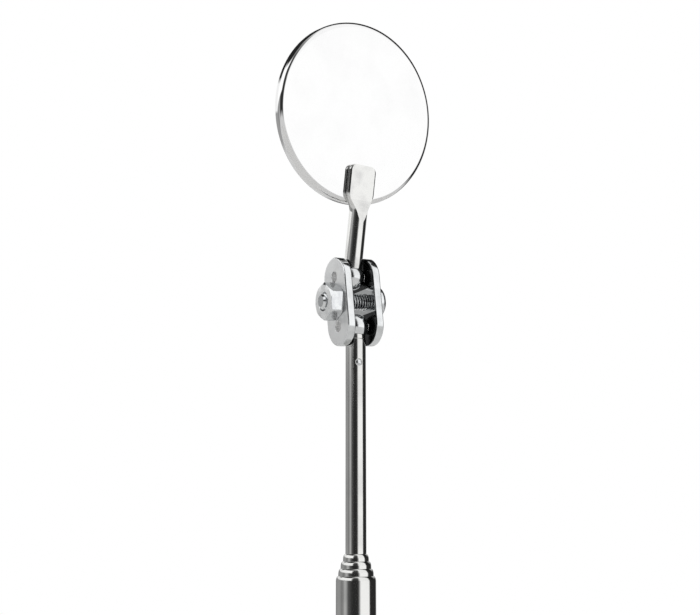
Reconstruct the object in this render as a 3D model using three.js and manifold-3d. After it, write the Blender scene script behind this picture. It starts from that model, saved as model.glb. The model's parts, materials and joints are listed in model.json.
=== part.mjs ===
// A telescopic inspection mirror: five nested tubes, a clamp with two balls, and a round mirror
// in a pressed metal case on a flattened stem. Millimetres; +Z runs up the tubes from the centre
// of the handle's bottom face, and X runs across them towards the clamp screw's head.
import * as THREE from "three";
import { mergeVertices } from "three/addons/utils/BufferGeometryUtils.js";
import Module from "manifold-3d";

// ---- driving sizes -------------------------------------------------------------------------

const HANDLE_DIAMETER = 8.0;
const DIAMETER_STEP = 0.95;
const TUBE_WALL = 0.3;
const HANDLE_LENGTH = 125.0;
const RING_HEIGHT = 1.43;
const LIP_HEIGHT = 0.45;
const LIP_ROUND = 0.55;
const SECTION_COUNT = 4;
const TOP_SECTION_EXTENSION = 41.4;
const LOWEST_BALL_HEIGHT = 5.0;

const PLUG_FLANGE = 0.8;
const PLUG_DEPTH = 3.2;
const BUSH_FLANGE = 1.6;
const BUSH_SPIGOT = 3.0;
const BUSH_HOLE_RADIUS = 0.8;
const STACK_GAP = 0.4;
const LEAF_HEIGHT = 5.0;
const LEAF_SLIT = 20;

const BALL_DIAMETER = 5.4;
const BALL_SPACING = 10.5;
const SEAT_HOLE_DIAMETER = 2.3;
const PLATE_WIDTH = 9.0;
const SEAT_MARGIN = 4.1;
const PLATE_THICKNESS = 1.8;
const PLATE_CHAMFER = 0.3;
const NECK_DIAMETER = 2.5;
const NECK_DEPTH = 1.1;
const STUD_COLLAR = 1.0;
const COLLAR_STEP = 0.1;
const STUD_SHANK = 9.0;
const PIN_DIAMETER = 1.2;
const PIN_DEPTH = 1.1;
const PIN_DROP = 5.0;
const PIN_TURN = -10;

const SCREW_DIAMETER = 3.4;
const SCREW_HEAD_DIAMETER = 7.0;
const SCREW_HEAD_HEIGHT = 2.4;
const SCREW_OVERHANG = 0.6;
const SLOT_WIDTH = 0.9;
const SLOT_DEPTH = 1.0;
const NUT_ACROSS_FLATS = 7.0;
const NUT_HEIGHT = 3.0;
const NUT_TURN = -9;

const STEM_DIAMETER = 3.9;
const BLADE_WIDTH = 6.8;
const BLADE_THICKNESS = 1.3;
const BLADE_CORNER = 1.3;
const PRESS_START = 11.9;
const PRESS_LENGTH = 4.6;
const SPREAD_START = 13.7;
const SPREAD_LENGTH = 4.2;
const BLADE_END = 23.9;
const MIRROR_DIAMETER = 38.6;
const CASE_DEPTH = 2.4;
const CASE_SHEET = 0.5;
const CASE_FILLET = 1.1;
const RIM_LIP = 0.8;
const PAD_THICKNESS = 0.3;
const GLASS_THICKNESS = 1.05;
const CASE_SIDE_SHIFT = -1.8;
const CASE_OVERLAP = 8.4;

// The pose, in degrees: how far the plates lean to the front (-Y) and to the nut's side (-X),
// how far the stem leans to the front, and the stem's turn about its own axis.
const PLATE_LEAN = -0.4;
const PLATE_TILT = 5.0;
const STEM_LEAN = 11.6;
const STEM_SPIN = 4.7;

// ---- clearances ----------------------------------------------------------------------------

const SLIDE_CLEARANCE = 0.03;
const LEAF_CLEARANCE = 0.02;
const PRESS_GAP = 0.01;
const SEAT_CLEARANCE = 0.03;
const TURN_CLEARANCE = 0.03;
const SIDE_CLEARANCE = 0.25;
const TILT_CLEARANCE = 0.03;
const PLATE_END_CLEARANCE = 0.4;
const BOLT_CLEARANCE = 0.06;
const THREAD_GAP = 0.02;
const REST_GAP = 0.02;
const CASE_EDGE_GAP = 0.1;

const TUBE_SEGMENTS = 36;
const CASE_SEGMENTS = 72;
const BALL_ARC_STEPS = 14;
const PRESS_STEPS = 11;

// ---- small helpers -------------------------------------------------------------------------

const wasm = await Module();
wasm.setup();

const radians = (degrees) => (degrees * Math.PI) / 180;

/** A manifold-3d solid with the shape of a closed three.js geometry. */
function solidOf(geometry) {
  const bare = geometry.clone();
  bare.deleteAttribute("normal");
  bare.deleteAttribute("uv");
  const merged = mergeVertices(bare, 1e-5);
  const mesh = new wasm.Mesh({
    numProp: 3,
    vertProperties: new Float32Array(merged.attributes.position.array),
    triVerts: new Uint32Array(merged.index.array),
  });
  return new wasm.Manifold(mesh);
}

/** A three.js geometry with the shape of a manifold-3d solid. */
function geometryOf(solid) {
  const mesh = solid.getMesh();
  const geometry = new THREE.BufferGeometry();
  geometry.setAttribute("position", new THREE.BufferAttribute(mesh.vertProperties, 3));
  geometry.setIndex(new THREE.BufferAttribute(mesh.triVerts, 1));
  return geometry;
}

/** Cuts every tool out of a geometry. */
function cut(geometry, ...tools) {
  const solid = tools.reduce((left, tool) => left.subtract(solidOf(tool)), solidOf(geometry));
  return geometryOf(solid);
}

/** A solid of revolution about Y from [radius, height] pairs, outer side going up. */
function turnedAboutY(profile, segments = TUBE_SEGMENTS) {
  const points = profile.map(([radius, height]) => new THREE.Vector2(radius, height));
  return new THREE.LatheGeometry(points, segments);
}

/** The same about Z. */
function turned(profile, segments = TUBE_SEGMENTS) {
  return turnedAboutY(profile, segments).rotateX(Math.PI / 2);
}

/** A round bar about Z between two heights. */
function bar(radius, low, high, segments = TUBE_SEGMENTS) {
  return turned([[0, low], [radius, low], [radius, high], [0, high]], segments);
}

/** Points of an arc, angles in degrees from the radius direction, both ends included. */
function arc(centre, radius, from, to, steps) {
  return Array.from({ length: steps + 1 }, (_, i) => {
    const angle = radians(from + ((to - from) * i) / steps);
    return [centre[0] + radius * Math.cos(angle), centre[1] + radius * Math.sin(angle)];
  });
}

/** A named mesh with its own material. */
function piece(name, geometry, finish) {
  const mesh = new THREE.Mesh(geometry, new THREE.MeshStandardMaterial(finish));
  mesh.name = name;
  return mesh;
}

const CHROME = { color: 0xd9dcdf, roughness: 0.08, metalness: 1 };
const STAINLESS = { color: 0xb9bbbd, roughness: 0.2, metalness: 1 };
const BRASS = { color: 0xc8a24a, roughness: 0.3, metalness: 1 };
const BRONZE = { color: 0xb87b4a, roughness: 0.32, metalness: 1 };
const ZINC_STEEL = { color: 0xc4c7ca, roughness: 0.15, metalness: 1 };
const SILVERED_GLASS = { color: 0xe9eef0, roughness: 0.02, metalness: 1 };
const GREY_CARD = { color: 0x8c8a84, roughness: 0.9, metalness: 0 };

// ---- sizes that follow ---------------------------------------------------------------------

// Level 0 is the handle and level 4 the thinnest tube.
const outerRadius = (level) => HANDLE_DIAMETER / 2 - (level * DIAMETER_STEP) / 2;
const boreRadius = (level) => outerRadius(level) - TUBE_WALL;

const BUSH_PITCH = BUSH_FLANGE + BUSH_SPIGOT + STACK_GAP;
const bushBase = (level) => PLUG_FLANGE + PLUG_DEPTH + STACK_GAP + (level - 1) * BUSH_PITCH;
const tubeTop = (level) => HANDLE_LENGTH + level * RING_HEIGHT;

const LAST = SECTION_COUNT;
const BALL_RADIUS = BALL_DIAMETER / 2;
const STEM_RADIUS = STEM_DIAMETER / 2;
const THIN_RADIUS = outerRadius(LAST);
const HALF_GAP = Math.sqrt(BALL_RADIUS ** 2 - (SEAT_HOLE_DIAMETER / 2) ** 2) + SEAT_CLEARANCE;

// What stands between the plates is no thicker than their gap, nor than what the tilted plates
// leave where their chamfered ends come nearest to it. A tube or a rod that is too thick ends
// outside the plates, and a thinner collar or shoulder goes on to the ball.
const tilt = radians(PLATE_TILT);
const nearestEnd = HALF_GAP * Math.cos(tilt) - (SEAT_MARGIN - PLATE_CHAMFER) * Math.sin(tilt);
const widestBetween = Math.min(HALF_GAP - SIDE_CLEARANCE, nearestEnd - TILT_CLEARANCE);
const COLLAR_RADIUS = Math.min(THIN_RADIUS - COLLAR_STEP, widestBetween);
const SHOULDER_RADIUS = Math.min(STEM_RADIUS, widestBetween);
const STUD_FLAT = Math.sqrt(BALL_RADIUS ** 2 - COLLAR_RADIUS ** 2);
const STEM_FLAT = Math.sqrt(BALL_RADIUS ** 2 - SHOULDER_RADIUS ** 2);
const clearOfPlates = PLATE_WIDTH / 2 + PLATE_END_CLEARANCE - STUD_FLAT;
const COLLAR_LENGTH = THIN_RADIUS <= widestBetween ? STUD_COLLAR : Math.max(STUD_COLLAR, clearOfPlates);
const BALL_ABOVE_TUBE = STUD_FLAT + COLLAR_LENGTH;
const LAST_RING_TOP = tubeTop(LAST - 1);
const THIN_TOP = LAST_RING_TOP + LOWEST_BALL_HEIGHT + TOP_SECTION_EXTENSION - BALL_ABOVE_TUBE;
const BALL_HEIGHT = THIN_TOP + BALL_ABOVE_TUBE;
const NECK_RADIUS = NECK_DIAMETER / 2;

// ---- telescopic tubes ----------------------------------------------------------------------

/** A drawn tube whose top end is rolled in until it just clears the next tube. */
function rolledTube(level, low, high) {
  const outer = outerRadius(level);
  const bore = boreRadius(level);
  const mouth = outerRadius(level + 1) + SLIDE_CLEARANCE;
  const rolled = arc([outer - LIP_ROUND, high - LIP_ROUND], LIP_ROUND, 0, 75, 4);
  return turned([
    [bore, low],
    [outer, low],
    ...rolled,
    [mouth, high],
    [mouth, high - LIP_HEIGHT],
    [bore, high - LIP_HEIGHT - (bore - mouth)],
    [bore, low],
  ]);
}

/** The base bush: a flange that runs in the tube outside and a spigot pressed in its own tube. */
function baseBush(level) {
  const flange = boreRadius(level - 1) - SLIDE_CLEARANCE;
  const spigot = boreRadius(level) - PRESS_GAP;
  return turned([
    [BUSH_HOLE_RADIUS, 0],
    [flange, 0],
    [flange, BUSH_FLANGE],
    [spigot, BUSH_FLANGE],
    [spigot, BUSH_FLANGE + BUSH_SPIGOT],
    [BUSH_HOLE_RADIUS, BUSH_FLANGE + BUSH_SPIGOT],
    [BUSH_HOLE_RADIUS, 0],
  ]);
}

/** The slit spring sleeve that rubs in the tube outside and makes the slide stay put. */
function springLeaf(level) {
  const inner = outerRadius(level) + LEAF_CLEARANCE;
  const outer = boreRadius(level - 1) - LEAF_CLEARANCE;
  const half = LEAF_SLIT / 2;
  const around = arc([0, 0], outer, half, 360 - half, TUBE_SEGMENTS);
  const back = arc([0, 0], inner, 360 - half, half, TUBE_SEGMENTS);
  const shape = new THREE.Shape([...around, ...back].map(([x, y]) => new THREE.Vector2(x, y)));
  return new THREE.ExtrudeGeometry(shape, { depth: LEAF_HEIGHT, bevelEnabled: false });
}

/** A bar along the stud pin's direction, from inside the stud to outside the tube. */
function pinBar(radius, inner, outer) {
  const geometry = bar(radius, inner, outer, 16).rotateX(Math.PI / 2);
  return geometry.rotateZ(radians(PIN_TURN)).translate(0, 0, THIN_TOP - PIN_DROP);
}

const root = new THREE.Group();

root.add(piece("handle_tube", rolledTube(0, PLUG_FLANGE, HANDLE_LENGTH), STAINLESS));

const plugBarrel = boreRadius(0) - PRESS_GAP;
root.add(piece("end_plug", turned([
  [0, 0],
  [outerRadius(0) - 0.3, 0],
  [outerRadius(0), 0.3],
  [outerRadius(0), PLUG_FLANGE],
  [plugBarrel, PLUG_FLANGE],
  [plugBarrel, PLUG_FLANGE + PLUG_DEPTH],
  [0, PLUG_FLANGE + PLUG_DEPTH],
]), CHROME));

for (let level = 1; level < LAST; level += 1) {
  const base = bushBase(level);
  const tube = rolledTube(level, base + BUSH_FLANGE, tubeTop(level));
  root.add(piece(`tube_section_${level}`, tube, STAINLESS));
  root.add(piece(`base_bush_${level}`, baseBush(level).translate(0, 0, base), BRASS));
  const leafBase = base + BUSH_FLANGE + STACK_GAP / 4;
  root.add(piece(`spring_leaf_${level}`, springLeaf(level).translate(0, 0, leafBase), BRONZE));
}

const thinBase = bushBase(LAST) + TOP_SECTION_EXTENSION;
const thinTube = turned([
  [boreRadius(LAST), thinBase + BUSH_FLANGE],
  [THIN_RADIUS, thinBase + BUSH_FLANGE],
  [THIN_RADIUS, THIN_TOP - 0.12],
  [THIN_RADIUS - 0.12, THIN_TOP],
  [boreRadius(LAST), THIN_TOP],
  [boreRadius(LAST), thinBase + BUSH_FLANGE],
]);
const pinHole = pinBar(PIN_DIAMETER / 2 + PRESS_GAP, THIN_RADIUS - PIN_DEPTH, THIN_RADIUS + 1);
root.add(piece(`tube_section_${LAST}`, cut(thinTube, pinHole), STAINLESS));
root.add(piece(`base_bush_${LAST}`, baseBush(LAST).translate(0, 0, thinBase), BRASS));
const lastLeaf = springLeaf(LAST).translate(0, 0, thinBase + BUSH_FLANGE + STACK_GAP / 4);
root.add(piece(`spring_leaf_${LAST}`, lastLeaf, BRONZE));

// ---- ball stud -----------------------------------------------------------------------------

const shankRadius = boreRadius(LAST) - PRESS_GAP;
const studTop = BALL_HEIGHT - STUD_FLAT - REST_GAP;
const stud = turned([
  [0, THIN_TOP - STUD_SHANK],
  [shankRadius - 0.3, THIN_TOP - STUD_SHANK],
  [shankRadius, THIN_TOP - STUD_SHANK + 0.3],
  [shankRadius, THIN_TOP + REST_GAP],
  [COLLAR_RADIUS, THIN_TOP + REST_GAP],
  [COLLAR_RADIUS, studTop],
  [NECK_RADIUS, studTop],
  [NECK_RADIUS, studTop + NECK_DEPTH],
  [0, studTop + NECK_DEPTH],
]);
root.add(piece("ball_stud", cut(stud, pinHole), STAINLESS));
const pin = pinBar(PIN_DIAMETER / 2, THIN_RADIUS - PIN_DEPTH + REST_GAP, THIN_RADIUS - 0.05);
root.add(piece("stud_pin", pin, ZINC_STEEL));

/** A ball with a flat and a blind bore on its underside for the neck that carries it. */
function boredBall(flat) {
  const rim = Math.sqrt(BALL_RADIUS ** 2 - flat ** 2);
  const start = -THREE.MathUtils.radToDeg(Math.asin(flat / BALL_RADIUS));
  const side = arc([0, 0], BALL_RADIUS, start, 90, BALL_ARC_STEPS);
  side[0] = [rim, -flat];
  side[side.length - 1] = [0, BALL_RADIUS];
  return turned([
    [0, -flat + NECK_DEPTH + TURN_CLEARANCE],
    [NECK_RADIUS + TURN_CLEARANCE, -flat + NECK_DEPTH + TURN_CLEARANCE],
    [NECK_RADIUS + TURN_CLEARANCE, -flat],
    ...side,
  ]);
}

root.add(piece("lower_ball", boredBall(STUD_FLAT).translate(0, 0, BALL_HEIGHT), CHROME));

// ---- clamp ---------------------------------------------------------------------------------

const clamp = new THREE.Group();
clamp.position.set(0, 0, BALL_HEIGHT);
clamp.rotation.set(radians(PLATE_LEAN), radians(-PLATE_TILT), 0, "YXZ");
root.add(clamp);

// Turns a shape drawn in XY and extruded along Z so that it lies in YZ and extrudes along X.
const onEdge = new THREE.Matrix4().makeBasis(
  new THREE.Vector3(0, 1, 0),
  new THREE.Vector3(0, 0, 1),
  new THREE.Vector3(1, 0, 0),
);

/** One clamp plate, lying from x = 0 to its thickness, with its lower seat at the origin. */
function clampPlate() {
  const half = PLATE_WIDTH / 2;
  const inset = half - SEAT_MARGIN;
  const outline = new THREE.Shape([
    ...arc([0, BALL_SPACING - inset], half, 0, 180, 20),
    ...arc([0, inset], half, 180, 360, 20),
  ].map(([y, z]) => new THREE.Vector2(y, z)));
  const blank = new THREE.ExtrudeGeometry(outline, {
    depth: PLATE_THICKNESS - 2 * PLATE_CHAMFER,
    bevelThickness: PLATE_CHAMFER,
    bevelSize: PLATE_CHAMFER,
    bevelOffset: -PLATE_CHAMFER,
    bevelSegments: 1,
  }).translate(0, 0, PLATE_CHAMFER);
  const drill = (radius, z) => bar(radius, -1, PLATE_THICKNESS + 1, 32).translate(0, z, 0);
  const drilled = cut(
    blank,
    drill(SEAT_HOLE_DIAMETER / 2, 0),
    drill(SEAT_HOLE_DIAMETER / 2, BALL_SPACING),
    drill(SCREW_DIAMETER / 2 + BOLT_CLEARANCE, BALL_SPACING / 2),
  );
  return drilled.applyMatrix4(onEdge);
}

clamp.add(piece("clamp_plate_head_side", clampPlate().translate(HALF_GAP, 0, 0), CHROME));
const nutSide = clampPlate().translate(-HALF_GAP - PLATE_THICKNESS, 0, 0);
clamp.add(piece("clamp_plate_nut_side", nutSide, CHROME));

const SCREW_HEIGHT = BALL_SPACING / 2;
const HEAD_FACE = HALF_GAP + PLATE_THICKNESS + REST_GAP;
const NUT_FACE = HEAD_FACE;
const SCREW_END = NUT_FACE + NUT_HEIGHT + SCREW_OVERHANG;
const headRadius = SCREW_HEAD_DIAMETER / 2;
const threadRadius = SCREW_DIAMETER / 2;

// The screw is turned about Z, head up, then laid along X.
const screwBody = turned([
  [0, -SCREW_END],
  [threadRadius - 0.35, -SCREW_END],
  [threadRadius, -SCREW_END + 0.35],
  [threadRadius, HEAD_FACE],
  [headRadius, HEAD_FACE],
  [headRadius, HEAD_FACE + SCREW_HEAD_HEIGHT * 0.4],
  [headRadius * 0.93, HEAD_FACE + SCREW_HEAD_HEIGHT * 0.68],
  [headRadius * 0.76, HEAD_FACE + SCREW_HEAD_HEIGHT * 0.88],
  [headRadius * 0.4, HEAD_FACE + SCREW_HEAD_HEIGHT * 0.98],
  [0, HEAD_FACE + SCREW_HEAD_HEIGHT],
], 32);
const slotBlade = new THREE.BoxGeometry(SCREW_HEAD_DIAMETER + 1, SLOT_WIDTH, SLOT_DEPTH * 2)
  .translate(0, 0, HEAD_FACE + SCREW_HEAD_HEIGHT);
const screw = cut(screwBody, slotBlade).rotateY(Math.PI / 2).translate(0, 0, SCREW_HEIGHT);
clamp.add(piece("clamp_screw", screw, ZINC_STEEL));

/** The hexagon nut about Z from 0 to its height, chamfered on both faces. */
function hexNut() {
  const corner = NUT_ACROSS_FLATS / Math.sqrt(3);
  const face = NUT_ACROSS_FLATS / 2;
  const drop = (corner - face) * 0.58;
  const prism = bar(corner, 0, NUT_HEIGHT, 6);
  const barrel = turned([
    [0, 0],
    [face, 0],
    [corner + 0.01, drop],
    [corner + 0.01, NUT_HEIGHT - drop],
    [face, NUT_HEIGHT],
    [0, NUT_HEIGHT],
  ], 36);
  const hex = geometryOf(solidOf(prism).intersect(solidOf(barrel)));
  return cut(hex, bar(threadRadius + THREAD_GAP, -1, NUT_HEIGHT + 1, 32));
}

const nut = hexNut()
  .rotateZ(radians(NUT_TURN))
  .rotateY(-Math.PI / 2)
  .translate(-NUT_FACE, 0, SCREW_HEIGHT);
clamp.add(piece("clamp_nut", nut, ZINC_STEEL));

// ---- stem and mirror -----------------------------------------------------------------------

const head = new THREE.Group();
clamp.updateMatrixWorld(true);
head.position.copy(clamp.localToWorld(new THREE.Vector3(0, 0, BALL_SPACING)));
head.rotation.x = radians(STEM_LEAN);
root.add(head);
const spun = new THREE.Group();
spun.rotation.z = radians(STEM_SPIN);
head.add(spun);

const upperBall = boredBall(STEM_FLAT).rotateX(Math.PI);
spun.add(piece("upper_ball", upperBall, CHROME));

/** A section of the stem at a height: an ellipse pressed flat in front (-Y) and behind (+Y). */
function ringAt(z, halfX, halfY, front = halfY, back = halfY, count = 36) {
  return Array.from({ length: count }, (_, i) => {
    const angle = (2 * Math.PI * i) / count;
    const y = THREE.MathUtils.clamp(halfY * Math.sin(angle), -front, back);
    return new THREE.Vector3(halfX * Math.cos(angle), y, z);
  });
}

/** A closed skin through rings of equal count, with a fan over each end. */
function loft(rings) {
  const count = rings[0].length;
  const middle = (ring) => ring
    .reduce((sum, point) => sum.add(point), new THREE.Vector3())
    .divideScalar(count);
  const points = [...rings.flat(), middle(rings[0]), middle(rings[rings.length - 1])];
  const faces = [];
  for (let row = 0; row + 1 < rings.length; row += 1) {
    for (let i = 0; i < count; i += 1) {
      const a = row * count + i;
      const b = row * count + ((i + 1) % count);
      faces.push(a, b, b + count, a, b + count, a + count);
    }
  }
  const first = points.length - 2;
  const last = (rings.length - 1) * count;
  for (let i = 0; i < count; i += 1) {
    const next = (i + 1) % count;
    faces.push(first, next, i, first + 1, last + i, last + next);
  }
  const geometry = new THREE.BufferGeometry().setFromPoints(points);
  geometry.setIndex(faces);
  return geometry;
}

/** How far a press has come at a height, from 0 to 1, the way a round die leaves it. */
const pressed = (z, start, length) => THREE.MathUtils.clamp((z - start) / length, 0, 1) ** 2;

/** The stem: a neck in the ball, a round rod, and an end flattened on to the case's back. */
function stemGeometry() {
  const rodStart = STEM_FLAT + REST_GAP;
  const neckStart = rodStart - NECK_DEPTH + TURN_CLEARANCE;
  const halfBlade = BLADE_THICKNESS / 2;
  const shoulderTop = SEAT_MARGIN + PLATE_END_CLEARANCE;
  const rings = [
    ringAt(neckStart, NECK_RADIUS, NECK_RADIUS),
    ringAt(rodStart, NECK_RADIUS, NECK_RADIUS),
    ringAt(rodStart + 0.01, SHOULDER_RADIUS, SHOULDER_RADIUS),
    ringAt(shoulderTop, SHOULDER_RADIUS, SHOULDER_RADIUS),
    ringAt(shoulderTop + 0.01, STEM_RADIUS, STEM_RADIUS),
  ];
  // The back is flat before the case's edge begins, and the front a little after it.
  const flatBehind = BLADE_END - CASE_OVERLAP - CASE_EDGE_GAP;
  const behindStart = flatBehind - PRESS_LENGTH;
  const bladeStart = Math.max(PRESS_START + PRESS_LENGTH, SPREAD_START + SPREAD_LENGTH);
  const first = Math.min(PRESS_START, behindStart);
  for (let step = 0; step <= PRESS_STEPS; step += 1) {
    const z = THREE.MathUtils.lerp(first, bladeStart, step / PRESS_STEPS);
    const spread = THREE.MathUtils.smoothstep(z, SPREAD_START, SPREAD_START + SPREAD_LENGTH);
    const front = pressed(z, PRESS_START, PRESS_LENGTH);
    const back = pressed(z, behindStart, PRESS_LENGTH);
    rings.push(ringAt(
      z,
      THREE.MathUtils.lerp(STEM_RADIUS, BLADE_WIDTH / 2, spread),
      THREE.MathUtils.lerp(STEM_RADIUS, BLADE_THICKNESS, spread),
      THREE.MathUtils.lerp(STEM_RADIUS, halfBlade, front),
      THREE.MathUtils.lerp(STEM_RADIUS, halfBlade, back),
    ));
  }
  for (const [width, z] of arc([-BLADE_CORNER, -BLADE_CORNER], BLADE_CORNER, 0, 84, 5)) {
    const halfWidth = BLADE_WIDTH / 2 + width;
    rings.push(ringAt(BLADE_END + z, halfWidth, BLADE_THICKNESS, halfBlade, halfBlade));
  }
  return loft(rings);
}

spun.add(piece("mirror_stem", stemGeometry(), STAINLESS));

const caseRadius = MIRROR_DIAMETER / 2;
const mirror = new THREE.Group();
const caseCentre = BLADE_END - CASE_OVERLAP + caseRadius;
mirror.position.set(CASE_SIDE_SHIFT, BLADE_THICKNESS / 2 + REST_GAP, caseCentre);
spun.add(mirror);

const pocket = caseRadius - CASE_SHEET;
const padTop = CASE_SHEET + REST_GAP + PAD_THICKNESS;
const glassTop = padTop + REST_GAP + GLASS_THICKNESS;
mirror.add(piece("mirror_case", turnedAboutY([
  [0, 0],
  ...arc([caseRadius - CASE_FILLET, CASE_FILLET], CASE_FILLET, -90, 0, 5),
  ...arc([caseRadius - 0.4, CASE_DEPTH - 0.4], 0.4, 0, 90, 4),
  [pocket - RIM_LIP + 0.15, CASE_DEPTH],
  [pocket - RIM_LIP, CASE_DEPTH - 0.15],
  [pocket - RIM_LIP, glassTop + REST_GAP],
  [pocket, glassTop + REST_GAP],
  [pocket, CASE_SHEET + 0.2],
  [pocket - 0.2, CASE_SHEET],
  [0, CASE_SHEET],
], CASE_SEGMENTS), CHROME));
const padRadius = pocket - 0.3;
mirror.add(piece("backing_pad", turnedAboutY([
  [0, CASE_SHEET + REST_GAP],
  [padRadius, CASE_SHEET + REST_GAP],
  [padRadius, padTop],
  [0, padTop],
], CASE_SEGMENTS), GREY_CARD));
const glassRadius = pocket - 0.1;
mirror.add(piece("mirror_glass", turnedAboutY([
  [0, padTop + REST_GAP],
  [glassRadius, padTop + REST_GAP],
  [glassRadius, glassTop],
  [0, glassTop],
], CASE_SEGMENTS), SILVERED_GLASS));

export default root;
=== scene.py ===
"""A telescopic inspection mirror, finished and lit in a small studio.

Drawn tubes, a clamp that holds two balls between two plates, and a round mirror in a pressed
case on a flattened stem. Metres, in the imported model's own frame.
"""
import json
import logging
import math
from collections.abc import Callable
from dataclasses import dataclass
from enum import Enum

import bmesh
import bpy
import numpy as np
from mathutils import Matrix, Vector

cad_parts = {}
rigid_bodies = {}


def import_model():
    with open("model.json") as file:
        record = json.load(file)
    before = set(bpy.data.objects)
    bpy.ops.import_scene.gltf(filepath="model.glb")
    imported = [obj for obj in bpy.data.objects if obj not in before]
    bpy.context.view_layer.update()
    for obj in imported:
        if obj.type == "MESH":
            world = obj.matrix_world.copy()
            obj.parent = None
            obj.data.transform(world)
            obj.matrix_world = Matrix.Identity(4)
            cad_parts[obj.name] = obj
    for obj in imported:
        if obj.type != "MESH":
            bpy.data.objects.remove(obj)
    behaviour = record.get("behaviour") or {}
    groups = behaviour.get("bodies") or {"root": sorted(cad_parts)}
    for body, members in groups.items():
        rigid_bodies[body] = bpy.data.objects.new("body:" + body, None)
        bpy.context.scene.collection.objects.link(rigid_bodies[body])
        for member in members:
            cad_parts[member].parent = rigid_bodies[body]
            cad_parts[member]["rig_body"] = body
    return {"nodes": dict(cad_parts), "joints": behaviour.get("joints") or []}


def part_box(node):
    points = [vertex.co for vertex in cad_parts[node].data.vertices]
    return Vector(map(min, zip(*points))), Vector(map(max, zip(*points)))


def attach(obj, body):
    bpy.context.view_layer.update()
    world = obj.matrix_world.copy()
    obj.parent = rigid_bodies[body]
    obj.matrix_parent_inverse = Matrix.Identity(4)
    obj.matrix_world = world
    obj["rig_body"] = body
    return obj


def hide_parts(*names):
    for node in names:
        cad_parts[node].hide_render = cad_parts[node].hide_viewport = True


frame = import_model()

log = logging.getLogger("inspection_mirror")
MM = 0.001
MICRON = 1e-6
# A flat's own point stands this far past a rounded edge, which keeps the flat's shading flat.
FLAT_MARGIN = 0.05 * MM
# Points closer than this are welded.
WELD = 2e-7
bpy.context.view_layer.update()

Numbers = np.ndarray | list | tuple
Socket = bpy.types.NodeSocket


# ---- geometry --------------------------------------------------------------------------------


def unit(vectors: np.ndarray) -> np.ndarray:
    """Scales vectors to length one.

    Args:
        vectors: one vector or an array of them, the last axis holding the parts.

    Returns:
        The same array with every vector at unit length.
    """
    length = np.linalg.norm(vectors, axis=-1, keepdims=True)
    return vectors / np.maximum(length, 1e-15)


@dataclass(frozen=True)
class Axes:
    """A local frame: an origin and three unit directions, in the object's frame."""

    origin: np.ndarray
    x: np.ndarray
    y: np.ndarray
    z: np.ndarray

    @classmethod
    def along(cls, origin: Numbers, z: Numbers, x: Numbers = (1.0, 0.0, 0.0),
              turn: float = 0.0) -> "Axes":
        """Builds a frame from its z direction.

        Args:
            origin: the frame's origin.
            z: the direction of z.
            x: a direction that x leans towards.
            turn: degrees that x and y are then turned about z.

        Returns:
            A right-handed frame.
        """
        z = unit(np.asarray(z, float))
        x = np.asarray(x, float)
        x = unit(x - (x @ z) * z)
        y = np.cross(z, x)
        c, s = math.cos(math.radians(turn)), math.sin(math.radians(turn))
        return cls(np.asarray(origin, float), c * x + s * y, c * y - s * x, z)

    def moved(self, x: float = 0.0, y: float = 0.0, z: float = 0.0) -> "Axes":
        """The same directions from an origin moved along them.

        Args:
            x: metres along x.
            y: metres along y.
            z: metres along z.

        Returns:
            The moved frame.
        """
        return Axes(self.origin + x * self.x + y * self.y + z * self.z, self.x, self.y, self.z)

    def place(self, points: np.ndarray) -> np.ndarray:
        """Local points in the object's frame.

        Args:
            points: local points, the last axis holding x, y and z.

        Returns:
            The points as the rest of the model sees them.
        """
        return self.origin + points @ np.stack([self.x, self.y, self.z])


UPRIGHT = Axes.along((0, 0, 0), (0, 0, 1))


def corners_rounded(corners: Numbers, radii: Numbers, steps: int = 6) -> np.ndarray:
    """Replaces each corner of a flat polyline by an arc.

    An arc touches both of its corner's sides, so its centre stands at radius / sin(half angle)
    on the bisector. Its points turn evenly from one tangent point to the other. One more point
    stands on each side just past the arc, which keeps the shading of the flat next to it flat.
    The line is open and keeps its two ends.

    Args:
        corners: the polyline's corners, n by 2.
        radii: one radius, or one for each corner.
        steps: steps in each arc.

    Returns:
        The new polyline's points, m by 2.
    """
    p = np.asarray(corners, float)
    r = np.maximum(np.broadcast_to(np.asarray(radii, float), len(p)), 1e-9)
    to_last, to_next = np.roll(p, 1, 0) - p, np.roll(p, -1, 0) - p
    a, b = unit(to_last), unit(to_next)
    half = np.arccos(np.clip((a * b).sum(1), -0.99999, 0.99999)) / 2
    room = 0.49 * np.minimum(np.linalg.norm(to_last, axis=1), np.linalg.norm(to_next, axis=1))
    cut = np.minimum(r / np.tan(half), room * 0.96)
    r = (cut * np.tan(half))[:, None]
    centre = p + unit(a + b) * r / np.sin(half)[:, None]
    start, end = p + a * cut[:, None], p + b * cut[:, None]
    sweep = (math.pi - 2 * half)[:, None, None]
    t = np.linspace(0, 1, steps + 1)[None, :, None]
    first, last = ((start - centre) / r)[:, None], ((end - centre) / r)[:, None]
    turn = (np.sin((1 - t) * sweep) * first + np.sin(t * sweep) * last) / np.sin(sweep)
    arcs = centre[:, None] + r[:, None] * turn
    margin = np.minimum(FLAT_MARGIN, room - cut)[:, None, None]
    rows = np.concatenate(
        [start[:, None] + a[:, None] * margin, arcs, end[:, None] + b[:, None] * margin], axis=1
    )
    return np.concatenate([p[:1], rows[1:-1].reshape(-1, 2), p[-1:]])


def arc_points(centre: Numbers, radius: float, start: float, end: float, steps: int) -> np.ndarray:
    """Points of an arc in a plane.

    Args:
        centre: the arc's centre.
        radius: its radius.
        start: the first point's angle in degrees from the first direction.
        end: the last point's angle.
        steps: steps between them.

    Returns:
        steps + 1 points.
    """
    angle = np.radians(np.linspace(start, end, steps + 1))
    return np.asarray(centre, float) + radius * np.stack([np.cos(angle), np.sin(angle)], -1)


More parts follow.
